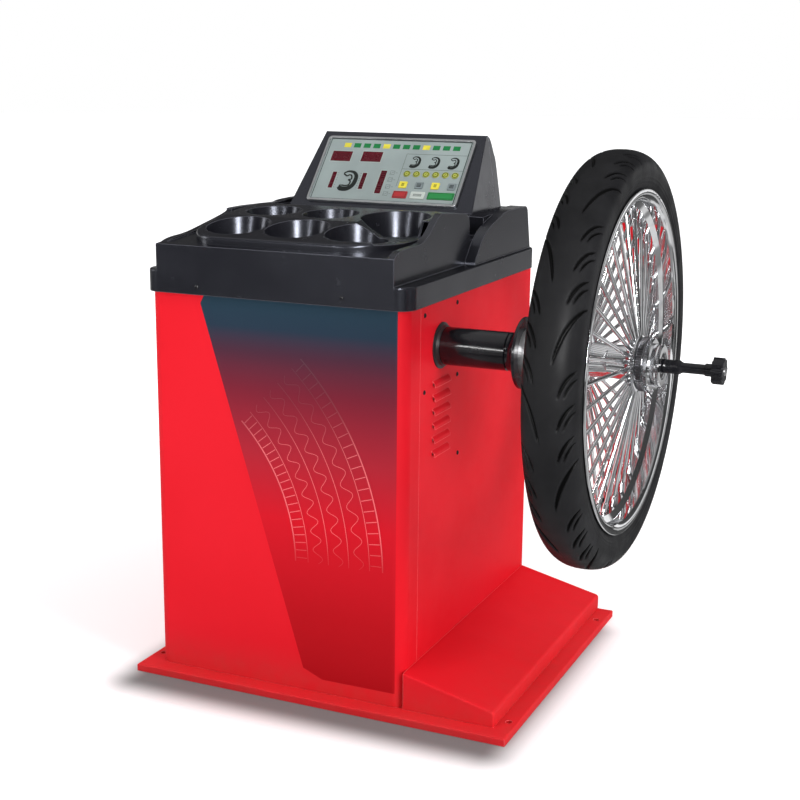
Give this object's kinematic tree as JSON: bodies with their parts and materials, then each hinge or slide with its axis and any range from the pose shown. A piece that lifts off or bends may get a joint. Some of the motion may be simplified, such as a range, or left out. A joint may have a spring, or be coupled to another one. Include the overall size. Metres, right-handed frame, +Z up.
{
  "type": "motorcycle wheel balancer",
  "caption": "Floor-standing motorcycle wheel balancer: red steel cabinet with black weight tray, tilted keypad display, and a side spindle clamping a spoked wheel in a tyre.",
  "frame": {"origin": "on the floor, midway between the four floor bolt holes of the base pan", "axes": "+X along the spindle from the cabinet towards the wheel, +Y from the operator's side to the back, +Z up"},
  "size_m": [1.029, 0.823, 0.986],
  "materials": {
    "red_paint": "gloss",
    "front_graphic": "gloss",
    "black_shell": "satin",
    "black_plastic": "satin",
    "black_paint": "gloss",
    "bezel_silver": "satin",
    "overlay": "satin",
    "led_red": "gloss",
    "zinc": "satin",
    "steel": "machined",
    "chrome": "polished",
    "tyre": "moulded",
    "rubber": "moulded",
    "aluminium": "cast",
    "board": "solder mask",
    "key_green": "satin",
    "key_yellow": "satin",
    "key_grey": "satin",
    "key_red": "satin",
    "key_white": "satin",
    "key_start_green": "satin"
  },
  "bodies": {
    "machine": {"base_pan": "red_paint", "ramp_cover": "red_paint", "front_panel": "front_graphic", "left_panel": "red_paint", "right_panel": "red_paint", "rear_panel": "red_paint", "case_screws": "black_paint", "power_inlet": "black_plastic", "top_cover": "black_shell", "weight_tray": "black_shell", "display_housing": "black_shell", "display_back": "black_shell", "display_bezel": "bezel_silver", "display_overlay": "overlay", "led_windows": "led_red", "display_board": "board", "pedestal": "zinc", "piezo_sensors": "steel", "spindle_saddle": "aluminium", "spindle_housing": "black_paint", "wall_collar": "black_plastic", "bearing_outer_rings": "steel", "motor_body": "aluminium", "drive_belt": "rubber", "encoder_sensor": "board", "power_supply": "zinc"},
    "spindle": {"spindle_shaft": "steel", "bearing_inner_rings": "steel", "driven_pulley": "aluminium", "encoder_disc": "black_plastic", "flange_disc": "black_paint", "inner_cone": "steel", "mandrel": "steel", "clamp_sleeve": "black_plastic", "hub": "chrome", "hub_bearings": "steel", "spokes": "chrome", "spoke_nipples": "chrome", "rim": "chrome", "tyre": "tyre", "inner_tube": "rubber"},
    "motor_rotor": {"motor_shaft": "steel", "motor_pulley": "aluminium"},
    "bearing_cages": {"bearing_cages": "steel"},
    "clamp_collar": {"clamp_collar": "black_plastic"},
    "hand_knob": {"hand_knob": "black_plastic"},
    "mains_rocker": {"mains_rocker": "black_plastic"},
    "key_stop": {"key_stop": "key_red"},
    "key_clear": {"key_clear": "key_white"},
    "key_start": {"key_start": "key_start_green"},
    "key_round_1": {"key_round_1": "key_green"},
    "key_round_2": {"key_round_2": "key_green"},
    "key_round_3": {"key_round_3": "key_green"},
    "key_round_4": {"key_round_4": "key_green"},
    "key_round_5": {"key_round_5": "key_green"},
    "key_round_6": {"key_round_6": "key_green"},
    "key_square_1": {"key_square_1": "key_yellow"},
    "key_square_2": {"key_square_2": "key_grey"},
    "key_square_3": {"key_square_3": "key_yellow"},
    "key_square_4": {"key_square_4": "key_grey"}
  },
  "joints": [
    {"name": "spindle_spin", "type": "hinge", "parent": "machine", "child": "spindle", "pos_m": [0.165, -0.141, 0.638], "axis": [1, 0, 0], "continuous": true},
    {"name": "motor_spin", "type": "hinge", "parent": "machine", "child": "motor_rotor", "pos_m": [0.165, -0.141, 0.42], "axis": [1, 0, 0], "continuous": true},
    {"name": "cage_spin", "type": "hinge", "parent": "machine", "child": "bearing_cages", "pos_m": [0.165, -0.141, 0.638], "axis": [1, 0, 0], "continuous": true},
    {"name": "collar_slide", "type": "slide", "parent": "spindle", "child": "clamp_collar", "axis": [1, 0, 0], "range_m": [0, 0.018]},
    {"name": "knob_turn", "type": "hinge", "parent": "clamp_collar", "child": "hand_knob", "pos_m": [0.165, -0.141, 0.638], "axis": [1, 0, 0], "range_deg": [0, 2165]},
    {"name": "mains_rock", "type": "hinge", "parent": "machine", "child": "mains_rocker", "pos_m": [-0.24, 0.322, 0.165], "axis": [1, 0, 0], "range_deg": [0, 7]},
    {"name": "key_stop_press", "type": "slide", "parent": "machine", "child": "key_stop", "axis": [0, 0.7507, -0.6607], "range_m": [0, 0.0008], "stiffness_N_per_m": 2000, "springref_m": -0.0003},
    {"name": "key_clear_press", "type": "slide", "parent": "machine", "child": "key_clear", "axis": [0, 0.7507, -0.6607], "range_m": [0, 0.0008], "stiffness_N_per_m": 2000, "springref_m": -0.0003},
    {"name": "key_start_press", "type": "slide", "parent": "machine", "child": "key_start", "axis": [0, 0.7507, -0.6607], "range_m": [0, 0.0008], "stiffness_N_per_m": 2000, "springref_m": -0.0003},
    {"name": "key_round_1_press", "type": "slide", "parent": "machine", "child": "key_round_1", "axis": [0, 0.7507, -0.6607], "range_m": [0, 0.0008], "stiffness_N_per_m": 2000, "springref_m": -0.0003},
    {"name": "key_round_2_press", "type": "slide", "parent": "machine", "child": "key_round_2", "axis": [0, 0.7507, -0.6607], "range_m": [0, 0.0008], "stiffness_N_per_m": 2000, "springref_m": -0.0003},
    {"name": "key_round_3_press", "type": "slide", "parent": "machine", "child": "key_round_3", "axis": [0, 0.7507, -0.6607], "range_m": [0, 0.0008], "stiffness_N_per_m": 2000, "springref_m": -0.0003},
    {"name": "key_round_4_press", "type": "slide", "parent": "machine", "child": "key_round_4", "axis": [0, 0.7507, -0.6607], "range_m": [0, 0.0008], "stiffness_N_per_m": 2000, "springref_m": -0.0003},
    {"name": "key_round_5_press", "type": "slide", "parent": "machine", "child": "key_round_5", "axis": [0, 0.7507, -0.6607], "range_m": [0, 0.0008], "stiffness_N_per_m": 2000, "springref_m": -0.0003},
    {"name": "key_round_6_press", "type": "slide", "parent": "machine", "child": "key_round_6", "axis": [0, 0.7507, -0.6607], "range_m": [0, 0.0008], "stiffness_N_per_m": 2000, "springref_m": -0.0003},
    {"name": "key_square_1_press", "type": "slide", "parent": "machine", "child": "key_square_1", "axis": [0, 0.7507, -0.6607], "range_m": [0, 0.0008], "stiffness_N_per_m": 2000, "springref_m": -0.0003},
    {"name": "key_square_2_press", "type": "slide", "parent": "machine", "child": "key_square_2", "axis": [0, 0.7507, -0.6607], "range_m": [0, 0.0008], "stiffness_N_per_m": 2000, "springref_m": -0.0003},
    {"name": "key_square_3_press", "type": "slide", "parent": "machine", "child": "key_square_3", "axis": [0, 0.7507, -0.6607], "range_m": [0, 0.0008], "stiffness_N_per_m": 2000, "springref_m": -0.0003},
    {"name": "key_square_4_press", "type": "slide", "parent": "machine", "child": "key_square_4", "axis": [0, 0.7507, -0.6607], "range_m": [0, 0.0008], "stiffness_N_per_m": 2000, "springref_m": -0.0003}
  ],
  "couplings": [
    {"joint": "motor_spin", "follows": "spindle_spin", "ratio": 3},
    {"joint": "cage_spin", "follows": "spindle_spin", "ratio": 0.4013},
    {"joint": "knob_turn", "follows": "collar_slide", "rad_per_m": 2094.4}
  ]
}
